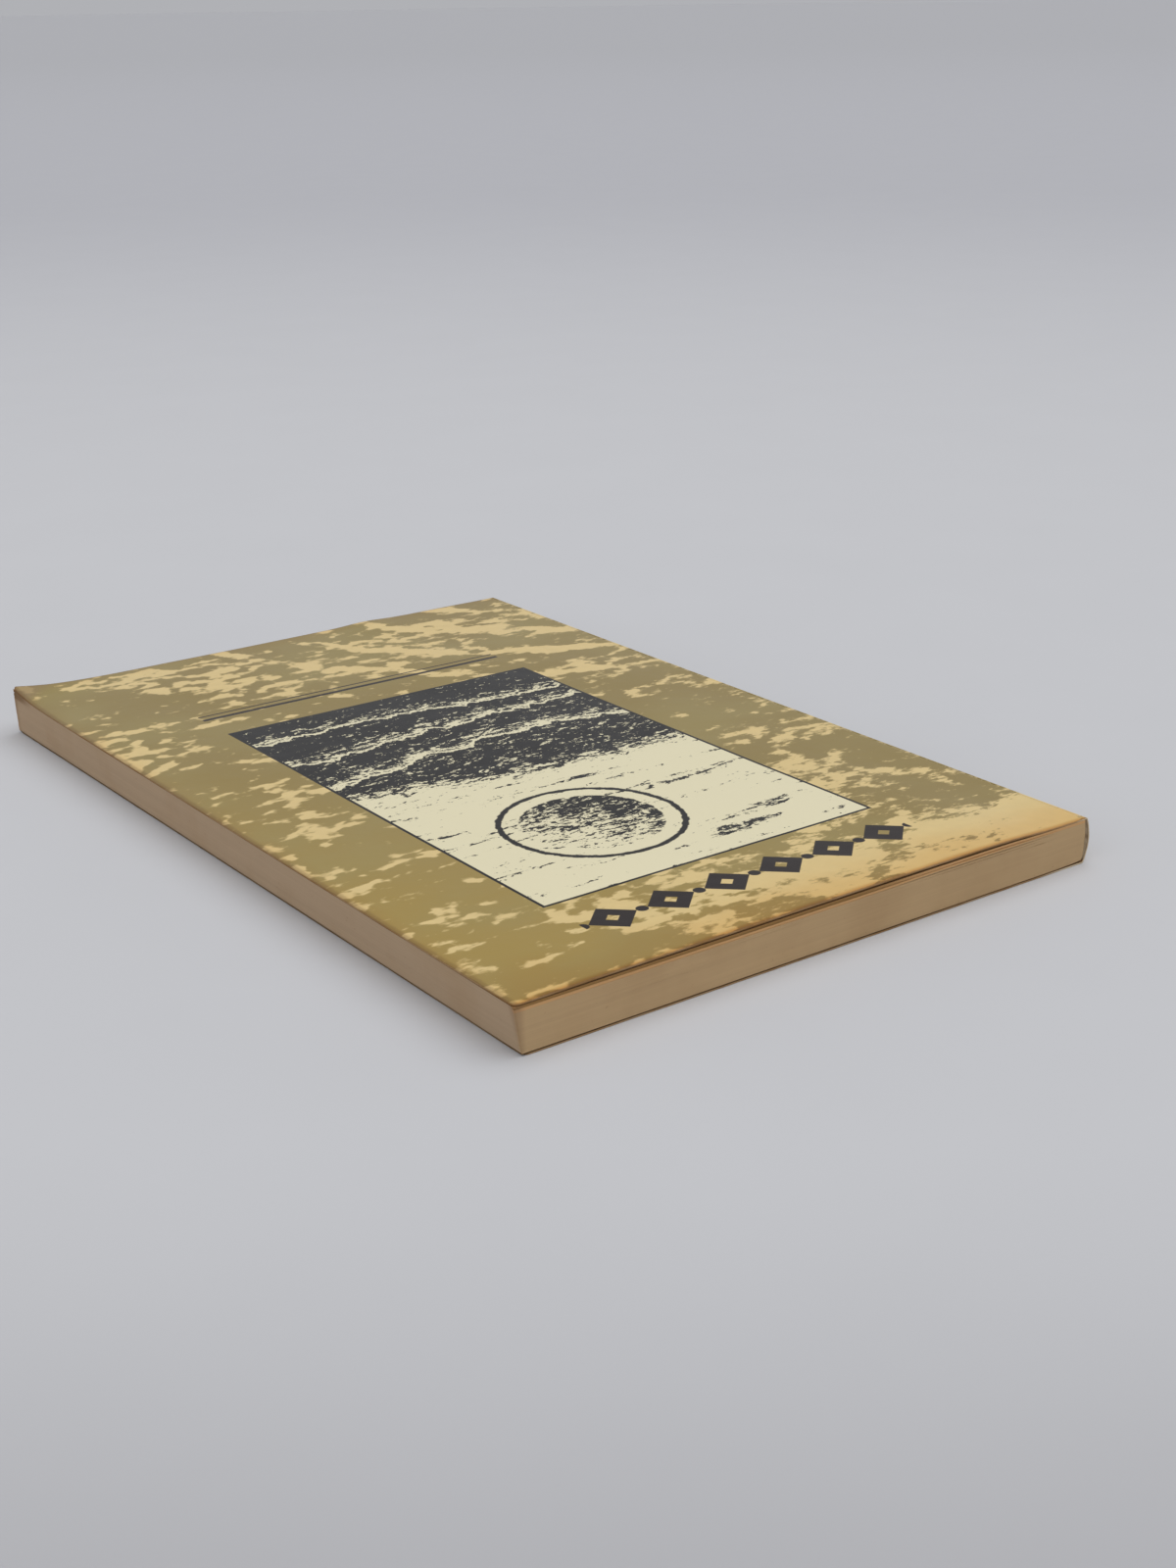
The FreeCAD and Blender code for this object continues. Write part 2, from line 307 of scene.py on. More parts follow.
class Look:
    """A material under construction."""

    def __init__(self, name, roughness, specular=0.5):
        self.material = bpy.data.materials.new(name)
        self.material.use_nodes = True
        self.tree = self.material.node_tree
        self.shader = self.tree.nodes["Principled BSDF"]
        self.shader.inputs["Roughness"].default_value = roughness
        self.shader.inputs["Specular IOR Level"].default_value = specular

    def split(self, socket):
        node = self.tree.nodes.new("ShaderNodeSeparateXYZ")
        self.tree.links.new(socket, node.inputs[0])
        return [Value(self.tree, output) for output in node.outputs]

    def place(self):
        """Millimetres along X, Y and Z."""
        node = self.tree.nodes.new("ShaderNodeTexCoord")
        return [part / MM for part in self.split(node.outputs["Object"])]

    def flat_place(self):
        """Millimetres across the unfolded card from the front cover's spine corner, and up from its middle."""
        node = self.tree.nodes.new("ShaderNodeUVMap")
        node.uv_map = "flat_card"
        across, up, _ = self.split(node.outputs[0])
        return (across - 0.5) / MM, (up - 0.5) / MM

    def noise(self, x, y, z=0.0, detail=3.0, rough=0.5, warp=0.0):
        """Smooth noise, mostly from 0.3 to 0.7, with bumps one unit wide in the given coordinates."""
        vector = self.tree.nodes.new("ShaderNodeCombineXYZ")
        for slot, item in zip(vector.inputs, (x, y, z)):
            plug(self.tree, slot, item)
        node = self.tree.nodes.new("ShaderNodeTexNoise")
        self.tree.links.new(vector.outputs[0], node.inputs["Vector"])
        node.inputs["Scale"].default_value = 1.0
        node.inputs["Detail"].default_value = detail
        node.inputs["Roughness"].default_value = rough
        node.inputs["Distortion"].default_value = warp
        return Value(self.tree, node.outputs["Fac"])

    def mix(self, share, first, second, blend="MIX"):
        """A colour between two: the first where share is 0 and the second where it is 1."""
        node = self.tree.nodes.new("ShaderNodeMix")
        node.data_type = "RGBA"
        node.blend_type = blend
        node.clamp_factor = True
        plug(self.tree, node.inputs["Factor"], share)
        plug(self.tree, node.inputs[6], first)
        plug(self.tree, node.inputs[7], second)
        return Value(self.tree, node.outputs[2])

    def blend_values(self, share, first, second):
        """A value between two: the first where share is 0 and the second where it is 1."""
        node = self.tree.nodes.new("ShaderNodeMix")
        for slot, item in zip(node.inputs[:1] + node.inputs[2:4], (share, first, second)):
            plug(self.tree, slot, item)
        return Value(self.tree, node.outputs[0])

    def shade(self, colour, amount):
        """A colour made lighter or darker: unchanged where amount is 1."""
        node = self.tree.nodes.new("ShaderNodeVectorMath")
        node.operation = "SCALE"
        plug(self.tree, node.inputs[0], colour if isinstance(colour, Value) else colour[:3])
        plug(self.tree, node.inputs["Scale"], amount)
        return Value(self.tree, node.outputs[0])

    def finish(self, colour, relief=None, depth=0.02, roughness=None):
        """Connects the colour, the relief, whose depth is in millimetres, and the roughness."""
        plug(self.tree, self.shader.inputs["Base Color"], colour)
        if roughness is not None:
            plug(self.tree, self.shader.inputs["Roughness"], roughness)
        if relief is not None:
            node = self.tree.nodes.new("ShaderNodeBump")
            node.inputs["Strength"].default_value = 1.0
            node.inputs["Distance"].default_value = depth * MM
            plug(self.tree, node.inputs["Height"], relief)
            self.tree.links.new(node.outputs[0], self.shader.inputs["Normal"])
        return self.material


# The print. Its places are on the unfolded card: across from the front cover's spine corner, and up from
# the middle.
OLIVE = paint(159, 135, 68)
OLIVE_DEEP = paint(140, 121, 66)         # toward the spine and the tail
OLIVE_GREEN = paint(152, 137, 82)
CREAM = paint(217, 192, 132)
PANEL_BLACK = paint(10, 8, 4)
PANEL_CREAM = paint(226, 218, 183)
INK_BROWN = paint(26, 14, 8)
BROWNED = paint(249, 235, 212)          # what ageing multiplies the print by near the head
BROWNED_EDGE = paint(222, 194, 150)     # and close beside an edge
WORN_BROWN = paint(104, 74, 38)
WORN_PALE = paint(206, 186, 144)
HANDLED = paint(142, 120, 84)           # the print at the dog-eared corner
HEAD_TONE_DEPTH = 17.0                  # how far in from the head the print is browned
SIDE_TONE_DEPTH = 5.0                   # and from the tail and fore-edges
CLOSE_TONE_DEPTH = 1.6
DOG_EAR = (12.0, 5.0)                   # from the corner, along its two edges together
FORE_RUB = (1.5, 0.6)                   # width of the rubbed strip along a fore-edge
FOLD_RUB = (0.55, 0.15)                 # and along a fold
PANEL = (31.0, 113.0, -48.0, 78.0)      # left, right, bottom and top
PANEL_RULE = 0.7
DISC = (80.0, 48.0, 15.0)               # across, up and radius
HALO = 4.0                              # from the disc to the thin ring round it
RIDGES = (                              # height, swing and length of each one's waves
    (13.0, 7.0, 31.0),
    (-3.0, 5.0, 22.0),
    (-18.0, 4.0, 40.0),
    (-33.0, 3.0, 17.0),
)
BORDER = (32.0, 112.4, 89.5)            # left, right and middle of the row of lozenges
LOZENGE = (13.4, 5.6, 5.4)              # spacing, half width and half height
RULES = ((-60.0, 0.6), (-62.6, 0.25))   # height and half width of each line near the tail
RIPPLE_CENTRE = (-30.0, -150.0)
RIPPLE_SPACING = 19.0
RIPPLE_REACH = (165.0, 105.0)           # the ripples fade out between these distances


def ragged(look, across, up):
    """The field that makes the print's mottling: clumps, longer across than up, with broken edges."""
    clumps = look.noise(across / 12, up / 7.5, 2.0, detail=2.0, warp=0.4)
    blots = look.noise(across / 5.2, up / 3.4, 9.0, detail=2.0, rough=0.45)
    streaks = look.noise(across / 2.6, up / 1.1, 12.0, detail=4.0, rough=0.62)
    fine = across.rise(120.0, 10.0) * 0.34 + up.rise(50.0, 90.0) * 0.2 + 0.07
    return clumps * 0.44 + look.blend_values(fine, blots, streaks) * 0.56


def ground(look, across, up):
    """How far the ground is cream rather than olive."""
    field = ragged(look, across, up)
    dx, dy = across - RIPPLE_CENTRE[0], up - RIPPLE_CENTRE[1]
    wobble = look.noise(across / 26, up / 26, 14.0, detail=4.0, rough=0.6) - 0.5
    radius = (dx * dx + dy * dy).root() + wobble * 17
    ring = (radius.repeat(RIPPLE_SPACING) - RIPPLE_SPACING / 2).size()
    ripples = ring.rise(3.4, 1.0) * radius.rise(*RIPPLE_REACH) * 0.12
    toward_head = up.rise(72.0, 104.0) * across.rise(120.0, 45.0)
    drift = look.noise(across / 45, up / 34, 4.0, detail=1.0) - 0.5
    level = field + drift * 0.36 + toward_head * 0.12 + ripples
    specks = look.noise(across / 1.8, up / 1.1, 19.0, detail=2.0) - 0.5
    faint = (level + specks * 0.42).rise(0.55, 0.62) * 0.45
    return level.rise(0.528, 0.58).most(faint)


def inside(across, up, box):
    """How far inside a box a point is, in millimetres, and less than 0 outside it."""
    left, right, bottom, top = box
    return (across - left).least(-across + right).least((up - bottom).least(-up + top))


def panel_picture(look, across, up):
    """How far the panel is cream rather than black: a disc over ridges, all shaded with a coarse grain."""
    grain = look.noise(across / 1.3, up / 0.8, 5.0, detail=3.0, rough=0.7)
    flecks = look.noise(across / 5.0, up / 1.9, 1.0, detail=4.0, rough=0.7, warp=0.5)
    shading = flecks * 0.55 + grain * 0.45

    dx, dy = across - DISC[0], up - DISC[1]
    from_disc = (dx * dx + dy * dy).root() + (flecks - 0.5) * 1.4
    lit_side = (dx * 0.7 + dy * 0.7 + DISC[2]).rise(DISC[2] * 2, 0.0)
    disc = (shading - lit_side * 0.115 + 0.13).rise(0.585, 0.565)
    ring = (from_disc - DISC[2] - HALO).size().rise(0.8, 0.5)
    cloud = look.noise(across / 34, up / 4.5, 7.0, detail=4.0, rough=0.6)
    dark_cloud = (cloud * 0.5 + shading * 0.5).rise(0.56, 0.575)
    picture = -(dark_cloud.most(ring)) + 1
    picture = look.blend_values(from_disc.rise(DISC[2], DISC[2] - 0.3), picture, -disc + 1)

    for number, (height, swing, length) in enumerate(RIDGES):
        crest = (across / length + number * 1.9).wave() * swing + height
        crest = crest + (look.noise(across / 9, number * 3.0, 0.0, detail=4.0, rough=0.6) - 0.5) * 15
        depth = crest - up
        slope = (shading + depth.rise(9.0, 0.0) * 0.1 - number * 0.012).rise(0.56, 0.576)
        lit_crest = (depth - 0.6).size().rise(0.5, 0.35)
        picture = look.blend_values(depth.rise(0.0, 0.2), picture, slope.most(lit_crest))
    return picture


def lozenge_row(across, up):
    """A row of lozenges with a dot between each two."""
    left, right, middle = BORDER
    spacing, half_width, half_height = LOZENGE
    along = (across - left).repeat(spacing) - spacing / 2
    lozenge = along.size() / half_width + (up - middle).size() / half_height
    hollow = lozenge.rise(0.26, 0.3)
    gap = (along.size() - spacing / 2).size()
    dot = (gap * gap + (up - middle) * (up - middle)).root()
    within = (across - left).rise(0.0, 0.1) * (across - right).rise(0.1, 0.0)
    return (lozenge.rise(1.0, 0.96) * hollow).most(dot.rise(1.3, 1.2)) * within


def rules(across, up):
    """Thin lines across the card near the tail."""
    within = (across - PANEL[0]).rise(0.0, 0.1) * (across - PANEL[1]).rise(0.1, 0.0)
    first, second = [(up - height).size().rise(half + 0.06, half) for height, half in RULES]
    return first.most(second) * within


def from_fore_edges(across):
    """Millimetres to the nearer of the unfolded card's two fore-edges."""
    return -((across - CARD_MIDDLE).size()) + CARD_HALF


def age(look, colour, across, up):
    """Browns the print towards the edges, most at the head, and wears it along the edges and the folds."""
    stain = look.noise(across / 14, up / 14, 21.0, detail=3.0) - 0.5
    from_head = -up + HEAD
    from_tail = up - TAIL
    from_fore = from_fore_edges(across)
    edge = from_head.least(from_tail).least(from_fore)
    head_tone = (from_head + stain * 15).rise(HEAD_TONE_DEPTH, 0.0)
    side_tone = (from_fore.least(from_tail) + stain * 8).rise(SIDE_TONE_DEPTH, 0.0) * 0.5
    colour = look.mix(head_tone.most(side_tone), colour, BROWNED, blend="MULTIPLY")
    close = (from_head + stain).rise(CLOSE_TONE_DEPTH, 0.0)
    colour = look.mix(close, colour, BROWNED_EDGE, blend="MULTIPLY")
    dog_ear = (from_fore + from_tail + stain * 8).rise(*DOG_EAR) * across.rise(0.0, 1.0)
    colour = look.mix(dog_ear * 0.75, colour, HANDLED)
    nicks = look.noise(across / 2.5, up / 2.5, 31.0, detail=3.0, rough=0.7) - 0.5
    colour = look.mix((from_fore + nicks * 0.9).rise(*FORE_RUB) * 0.4, colour, WORN_BROWN)
    colour = look.mix((edge + nicks * 0.5).rise(0.4, 0.1) * 0.6, colour, WORN_BROWN)
    rubbed = look.noise(across / 3.2, up / 3.2, 41.0, detail=4.0, rough=0.75)
    from_folds = ((across - CARD_MIDDLE).size() - SPINE_WIDTH / 2 - 0.3).size()
    fold = from_folds.rise(*FOLD_RUB) * rubbed.rise(0.49, 0.55)
    scuffs = rubbed.rise(0.69, 0.72) * edge.rise(14.0, 0.0)
    return look.mix(fold.most(scuffs) * 0.6, colour, WORN_PALE)


def cover_print():
    """The printed, varnished side of the card."""
    look = Look("cover_print", roughness=0.3, specular=0.33)
    across, up = look.flat_place()
    patches = look.noise(across / 38, up / 32, 11.0, detail=2.0)
    depth = (across * 0.55 + up * 0.45).rise(110.0, 40.0)
    olive = look.mix(patches.rise(0.4, 0.66) * 0.5, look.mix(depth, OLIVE, OLIVE_DEEP), OLIVE_GREEN)
    mottle = look.noise(across / 3, up / 3, 17.0, detail=2.0)
    colour = look.mix(ground(look, across, up), olive, look.shade(CREAM, mottle * 0.12 + 0.94))

    within = inside(across, up, PANEL)
    picture = panel_picture(look, across, up) * within.rise(PANEL_RULE, PANEL_RULE + 0.1)
    colour = look.mix(within.rise(0.0, 0.1), colour, look.mix(picture, PANEL_BLACK, PANEL_CREAM))
    colour = look.mix(lozenge_row(across, up).most(rules(across, up)), colour, INK_BROWN)
    colour = age(look, colour, across, up)

    tooth = look.noise(across / 0.35, up / 0.35, detail=2.0)
    dents = look.noise(across / 9, up / 9, 51.0, detail=2.0)
    sheen = look.noise(across / 22, up / 22, 61.0, detail=3.0)
    return look.finish(colour, tooth * 0.1 + dents, depth=0.09, roughness=sheen * 0.16 + 0.24)


# Bare card, paper and glue.
CARD_PALE = paint(226, 211, 178)
CARD_TONED = paint(186, 148, 98)
PULP_PALE = paint(196, 180, 152)
PULP_BROWN = paint(132, 98, 58)
LEAF_PALE = paint(228, 213, 178)
LEAF_TONED = paint(192, 152, 102)
TRIM_BROWN = paint(128, 90, 50)         # paper and card beside a trimmed edge
EDGE_TAN = paint(178, 154, 126)         # trimmed edges of the leaves, at the fore-edge
EDGE_TAN_HEAD = paint(190, 161, 121)    # and at the head and tail
EDGE_SMUDGE = paint(158, 126, 88)
EDGE_SPECK = paint(128, 98, 64)
EDGE_ORANGE = paint(208, 160, 106)
# painted shade: the dark brown of the gap's shadow under the cover, put on the top leaves' edges
LEAF_GAP_SHADE = paint(136, 101, 52)
EDGE_CORNER = paint(134, 104, 78)
EDGE_THUMBED = paint(126, 96, 62)
GLUE_PALE = paint(172, 152, 122)
GLUE_DARK = paint(136, 112, 82)
TONE_DEPTH = (17.0, -2.0)               # from a sheet's edges, where its toning starts and would be full
TRIM_DEPTH = (3.0, 0.4)                 # the same for the brown rim beside its edges


def finish_paper(look, pale, toned, edge, cloud, fibres, spots=0.0):
    """A sheet that is toned towards its edges, unevenly, with a brown rim beside them. edge is the distance to
    the nearest of them."""
    tone = (edge + (cloud - 0.5) * 22).rise(*TONE_DEPTH).most(spots)
    rim = (edge + (cloud - 0.5) * 4).rise(*TRIM_DEPTH)
    colour = look.mix(rim * 0.85, look.mix(tone * 0.8, pale, toned), TRIM_BROWN)
    return look.finish(look.shade(colour, cloud * 0.1 + fibres * 0.1 + 0.9), fibres, depth=0.03)


def inside_card_look():
    """The card's uncoated side, browner towards its edges."""
    look = Look("inside_card", roughness=0.7, specular=0.25)
    across, up = look.flat_place()
    cloud = look.noise(across / 30, up / 30, 71.0, detail=3.0)
    fibres = look.noise(across / 0.5, up / 0.22, 72.0, detail=3.0, rough=0.65)
    edge = (-(up.size()) + HEAD).least(from_fore_edges(across))
    return finish_paper(look, CARD_PALE, CARD_TONED, edge, cloud, fibres)


def cut_card_look():
    """The card's cut edge: pale pulp at the spine, brown round the front cover where it is handled, and brown
    round the back cover away from the spine.
    """
    look = Look("card_cut_edge", roughness=0.9, specular=0.2)
    across, up = look.flat_place()
    stain = look.noise(across / 12, up / 12, 81.0, detail=3.0)
    pulp = look.noise(across / 0.4, up / 0.4, 82.0, detail=3.0, rough=0.7)
    front = across.rise(0.5, 4.0) * 0.8
    # The back cover's cut edge is made brown away from the spine, all along its foot too.
    back = across.rise(-16.0, -24.0) * 0.7
    brown = stain.rise(0.35, 0.7) * 0.25 + front.most(back)
    colour = look.mix(brown, PULP_PALE, PULP_BROWN)
    return look.finish(look.shade(colour, pulp * 0.5 + 0.75), pulp, depth=0.05)


def page_look():
    """A leaf's face: cream paper, toned towards its edges, with a few age spots."""
    look = Look("page_paper", roughness=0.85, specular=0.25)
    x, y, z = look.place()
    cloud = look.noise(x / 30, y / 30, z / 30, detail=3.0)
    fibres = look.noise(x / 0.5, y / 0.22, z / 0.5, detail=3.0, rough=0.65)
    edge = (-(y.size()) + HEAD).least(-x + FORE)
    spots = look.noise(x / 2.4, y / 2.4, 3.0, detail=1.0).rise(0.745, 0.77) * 0.3
    return finish_paper(look, LEAF_PALE, LEAF_TONED, edge, cloud, fibres, spots)


def leaf_edge_look():
    """The trimmed edges of the leaves: tanned, faintly streaked along the leaves, and smudged by thumbs. The
    top
    leaves are the most toned: orange at the head, and brown at the dog-eared corner. At the head, the topmost
    ones also get dark brown as painted shade, for the shadow in the gap under the cover."""
    look = Look("leaf_edges", roughness=0.82, specular=0.25)
    x, y, z = look.place()
    leaves = look.noise(x / 40, y / 40, z / 0.17, detail=3.0, rough=0.65)
    groups = look.noise(x / 90, y / 90, z / 1.1, 2.0)
    smudge = look.noise(x / 16, y / 16, z / 20, detail=3.0)
    specks = look.noise(x / 1.1, y / 1.1, z / 0.6, detail=2.0)
    head = y.size().rise(HEAD - 1.0, HEAD - 0.3)
    tan = look.mix(head, EDGE_TAN, EDGE_TAN_HEAD)
    colour = look.mix(groups.rise(0.3, 0.7) * 0.5, tan, look.shade(tan, 0.93))
    colour = look.mix(smudge.rise(0.42, 0.75) * 0.3, colour, EDGE_SMUDGE)
    colour = look.mix(specks.rise(0.7, 0.76) * 0.3, colour, EDGE_SPECK)
    away_from_spine = x.rise(-32.0, -4.0)
    orange_leaves = (z + away_from_spine * 0.4).rise(TOP - 0.95, TOP - 0.85) * head
    colour = look.mix(orange_leaves * 0.75, colour, EDGE_ORANGE)
    # Painted shade: the top leaves at the head are darkened as if in the shadow of the gap under the cover.
    gap_shade_leaves = z.rise(TOP - 0.8, TOP - 0.66) * head * away_from_spine
    colour = look.mix(gap_shade_leaves * 0.85, colour, LEAF_GAP_SHADE)
    near_corner = (-(y.size()) - x + (HEAD + FORE)).rise(2.6, 0.8) * 0.45
    colour = look.mix(near_corner, colour, EDGE_CORNER)
    handled = (-y).rise(HEAD - 12, HEAD - 3) * x.rise(FORE - 12, FORE - 3) * z.rise(TOP - 1.6, TOP - 0.4)
    colour = look.mix(handled * 0.8, colour, EDGE_THUMBED)
    return look.finish(look.shade(colour, leaves * 0.2 + 0.9), leaves, depth=0.02)


def glue_look():
    """Hot-melt glue, patchy with age."""
    look = Look("aged_glue", roughness=0.55)
    x, y, z = look.place()
    cloud = look.noise(x / 1.5, y / 3, z / 1.5, detail=3.0)
    colour = look.mix(cloud.rise(0.35, 0.65), GLUE_PALE, GLUE_DARK)
    return look.finish(colour, cloud, depth=0.2)


cover_surface = Surface("front_cover")
block_surface = Surface("text_block")
cover_top = Field(cover_surface.height, FRONT_FOLD)
leaf_top = Field(block_surface.height, FRONT_FOLD)


def lift_of_cover(x, y):
    """How far the front cover's underside stands off the top leaf."""
    return max(0.0, cover_top(x, y) - CARD - leaf_top(x, y))


HEAD_LIFT = 0.12                    # how much more the head edge stands off the leaves
BUCKLE = (-28.0, 0.45, 7.0, 9.0)    # across, height and half sizes of a small buckle at the tail edge
WAVES = ((0.09, 38, 1), (0.03, 13, 2))      # height, width and seed of the waves in the card
WAVE_LOSS = 0.8                     # share of them that is lost at the fore-edge
WEAR = 0.1                          # usual depth of the wear along a cover's outline
CORNER_RADIUS = 1.3
HEAD_ROLL, FORE_ROLL = 0.1, 0.06    # how far the card's top rolls down at its rubbed edges


def cover_waves(x, y):
    """Slight waves that handling leaves in the card. They only raise it, and fade beside the spine."""
    across, height, half_x, half_y = BUCKLE
    buckle = height * math.exp(-((x - across) / half_x) ** 2 - ((y - TAIL) / half_y) ** 2)
    buckle += HEAD_LIFT * smooth_step(y, HEAD - 30, HEAD)
    waves = sum(high * (1 + ripple(x, y, width, seed)) for high, width, seed in WAVES)
    waves *= 1 - WAVE_LOSS * smooth_step(x, FORE - 20, FORE)
    return (waves + buckle) * smooth_step(x, FRONT_FOLD + 4, FRONT_FOLD + 20)


def worn(x, y):
    """Moves a point at a cover's outline inwards a little, by a ragged amount."""
    fade = smooth_step(FORE - x, 1.5, 0.0), smooth_step(HEAD - abs(y), 1.5, 0.0)
    nick = WEAR * (0.6 + 0.4 * ripple(x, y, 2.0, seed=3) + 0.5 * max(0.0, ripple(x, y, 9.0, seed=4)))
    x, y = round_off(x, y, CORNER_RADIUS)
    return x - nick * fade[0], y - math.copysign(nick * fade[1], y)


def panel_grid(low_x, outline, height):
    """A grid of points over a cover from its fold to its fore-edge, at the height given over each."""
    xs = lines(low_x, FORE, STEP_ACROSS)
    ys = lines(TAIL, HEAD, STEP_UP)
    points = []
    for x in xs:
        row = []
        for y in ys:
            moved = outline(x, y)
            row.append((moved[0], moved[1], height(x, y)))
        points.append(row)
    return xs, ys, points


def rim_of(xs, ys, out):
    """Moves the middle of a cover's cut edge outwards, except along its fold."""
    def rim(i, j):
        along_x = out if i == len(xs) - 1 else 0.0
        along_y = out if j == len(ys) - 1 else -out if j == 0 else 0.0
        return Vector((along_x, along_y, 0.0))
    return rim


def make_front_cover():
    def height(x, y):
        roll = HEAD_ROLL * smooth_step(HEAD - y, 1.2, 0.0) + FORE_ROLL * smooth_step(FORE - x, 0.8, 0.0)
        return cover_top(x, y) + cover_waves(x, y) - roll

    xs, ys, top = panel_grid(FRONT_FOLD, worn, height)
    bottom = [[(x, y, z - CARD) for x, y, z in row] for row in top]
    for j, y in enumerate(ys):
        top[0][j] = (FRONT_FOLD, y, TOP)
        bottom[0][j] = (FRONT_FOLD, y, TOP - CARD)
    flat = [[(x - SPINE_TOP, y) for y in ys] for x in xs]
    piece = make_card("front_cover_card", top, bottom, rim_of(xs, ys, 0.05), flat, CARD_LOOKS)
    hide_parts("front_cover")
    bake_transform(piece)


TUCK = 0.2                  # how far the back cover's fore-edge stays inside the leaves


def back_outline(x, y):
    """The back cover's outline, whose fore-edge is set in where the frame's is."""
    fore = FORE - BACK_FOLD
    inset = FORE - back_surface.fore_edge(y, CARD / 2) + TUCK
    x, y = worn(x, y)
    return x - inset * (x - BACK_FOLD) / fore, y


back_surface = Surface("back_cover")


def make_back_cover():
    xs, ys, top = panel_grid(BACK_FOLD, back_outline, lambda x, y: CARD)
    bottom = [[(x, y, 0.0) for x, y, z in row] for row in top]
    for points, z in ((top, CARD), (bottom, 0.0)):
        points[0] = [(BACK_FOLD, y, z) for y in ys]
    flat = [[(-SPINE_WIDTH - (x - SPINE_FOOT), y) for y in ys] for x in xs]
    looks = [INSIDE_CARD, PRINT, CUT_CARD]
    piece = make_card("back_cover_card", top, bottom, rim_of(xs, ys, 0.04), flat, looks)
    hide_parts("back_cover")
    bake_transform(piece)


def arc_points(start, end, sag, count):
    """Points along the arc from start to end whose middle stands out to -X by sag."""
    chord = Vector(end) - Vector(start)
    radius = (chord.length ** 2 / 4 + sag ** 2) / (2 * sag)
    outward = Vector((chord.y, -chord.x)).normalized()
    outward = outward if outward.x < 0 else -outward
    centre = (Vector(start) + Vector(end)) / 2 - outward * (radius - sag)
    half = math.asin(chord.length / 2 / radius)
    along = chord.normalized()
    turns = [half * (2 * step / (count - 1) - 1) for step in range(count)]
    return [centre + outward * radius * math.cos(turn) + along * radius * math.sin(turn) for turn in turns]


def round_corner(before, corner, after, radius, count):
    """Points round a corner between two straight lines, at the given radius."""
    back, on = (Vector(before) - corner).normalized(), (Vector(after) - corner).normalized()
    half = back.angle(on) / 2
    centre = corner + (back + on).normalized() * (radius / math.sin(half))
    start, end = corner + back * (radius / math.tan(half)), corner + on * (radius / math.tan(half))
    points = []
    for step in range(count):
        share = step / (count - 1)
        points.append(centre + (start - centre).slerp(end - centre, share, None).normalized() * radius)
    return points


def spine_profile():
    """The outside of the spine in X and Z, from the front fold line round to the back one."""
    top, foot = Vector((SPINE_TOP, TOP)), Vector((SPINE_FOOT, 0.0))
    sag = (top.x + foot.x) / 2 - corners["spine"][0].x
    web = arc_points(top, foot, sag, 29)
    front, back = Vector((FRONT_FOLD, TOP)), Vector((BACK_FOLD, 0.0))
    first = round_corner(front, top, web[1], FOLD_RADIUS, 7)
    last = round_corner(web[-2], foot, back, FOLD_RADIUS, 7)
    return [front, *first, *web[1:-1], *last, back]


def spine_length():
    outside = spine_profile()
    return sum((b - a).length for a, b in zip(outside, outside[1:])) - 2 * FOLD_LAND


def inwards(points):
    """The direction to the card's inside at each point of the spine's outline."""
    directions = []
    for before, after in zip([points[0], *points], [*points[1:], points[-1]]):
        along = (after - before).normalized()
        directions.append(Vector((-along.y, along.x)))
    return directions


def make_spine():
    outside = spine_profile()
    directions = inwards(outside)
    inside_points = [point + direction * CARD for point, direction in zip(outside, directions)]
    ys = lines(TAIL, HEAD, STEP_UP)
    walked = [0.0]
    for a, b in zip(outside, outside[1:]):
        walked.append(walked[-1] + (b - a).length)
    outer, inner, flat = [], [], []
    for point, within, distance in zip(outside, inside_points, walked):
        fade = smooth_step(distance, 0.0, 3.0) * smooth_step(walked[-1] - distance, 0.0, 3.0)
        outer_row, inner_row = [], []
        for y in ys:
            crease = 0.05 * fade * max(0.0, ripple(distance * 3, y, 12, seed=5))
            end = 0.06 * smooth_step(HEAD - abs(y), 1.0, 0.0) * (1 + ripple(distance, y, 2, seed=6))
            y_worn = y - math.copysign(end, y)
            outer_row.append((point.x + crease, y_worn, point.y))
            inner_row.append((within.x + crease, y_worn, within.y))
        outer.append(outer_row)
        inner.append(inner_row)
        flat.append([(FOLD_LAND - distance, y) for y in ys])
    last = len(ys) - 1

    def rim(i, j):
        return Vector((0, 0.04 if j == last else -0.04 if j == 0 else 0, 0))

    piece = make_card("spine_card", inner, outer, rim, flat, [INSIDE_CARD, PRINT, CUT_CARD])
    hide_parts("spine")
    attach(piece, "bound_block")


GLUE_SLOPE = 1.1            # how much deeper its ends are beside the leaves than beside the card


def make_glue():
    """The film of glue, lumpy at both ends, where it stops short of the card and is sunk beside the leaves."""
    outside = spine_profile()
    directions = inwards(outside)
    shell = [point + direction * CARD for point, direction in zip(outside, directions)]
    highest, furthest = TOP - CARD - 0.02, FRONT_FOLD - 0.3
    shell = [point for point in shell if BLOCK_FOOT < point.y < highest and point.x < furthest]
    ys = lines(TAIL, HEAD, GLUE_STEP)
    outer, inner = [], []
    for point in shell:
        height = min(max(point.y, BLOCK_FOOT + 0.03), leaf_top(FRONT_FOLD, 0) - 0.03)
        leaves = block_surface.back_edge(height)
        outer_row, inner_row = [], []
        for y in ys:
            near_end = smooth_step(HEAD - abs(y), 3.0, 0.0)
            recess = near_end * (0.12 + 0.08 * ripple(point.y * 2, y, 2.5, seed=7))
            deeper = recess + near_end * GLUE_SLOPE
            outer_row.append((point.x, y - math.copysign(recess, y), point.y))
            inner_row.append((leaves, y - math.copysign(deeper, y), point.y))
        outer.append(outer_row)
        inner.append(inner_row)
    flat = [[(0.0, 0.0)] * len(ys)] * len(shell)
    piece = make_card("glue_film", inner, outer, lambda i, j: Vector(), flat, [GLUE, GLUE, GLUE])
    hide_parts("spine_glue")
    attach(piece, "bound_block")


